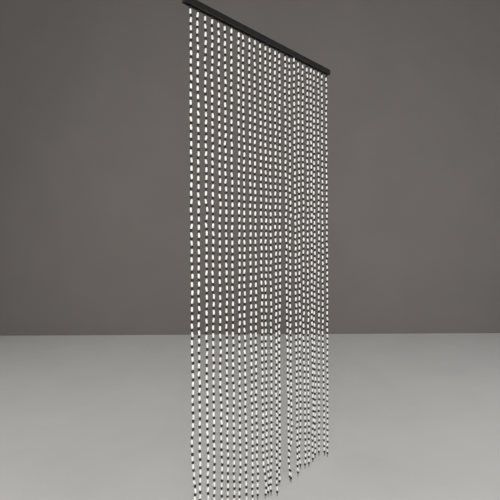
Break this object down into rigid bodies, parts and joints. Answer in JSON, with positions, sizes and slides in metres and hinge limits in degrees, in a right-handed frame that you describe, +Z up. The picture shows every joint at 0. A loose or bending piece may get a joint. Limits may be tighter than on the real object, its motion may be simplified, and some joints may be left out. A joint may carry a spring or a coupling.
{
  "type": "bead curtain with headrail",
  "caption": "Doorway bead curtain: a black wooden headrail with hanging strings of white oval and black round wooden beads.",
  "frame": {"origin": "middle of the headrail's flat top face, which goes up against the head of the doorway", "axes": "+X along the headrail, +Y to the back, +Z up; the strings hang down -Z"},
  "size_m": [0.9, 0.0245, 1.998],
  "materials": {
    "rail": "black paint, satin, slightly worn on the edges",
    "bead_white": "off-white lacquer, glossy",
    "bead_black": "black lacquer, glossy",
    "thread": "twisted black nylon thread, matt"
  },
  "bodies": {
    "root": {"headrail": "rail", "strand_comb": "bead_white"}
  },
  "joints": []
}
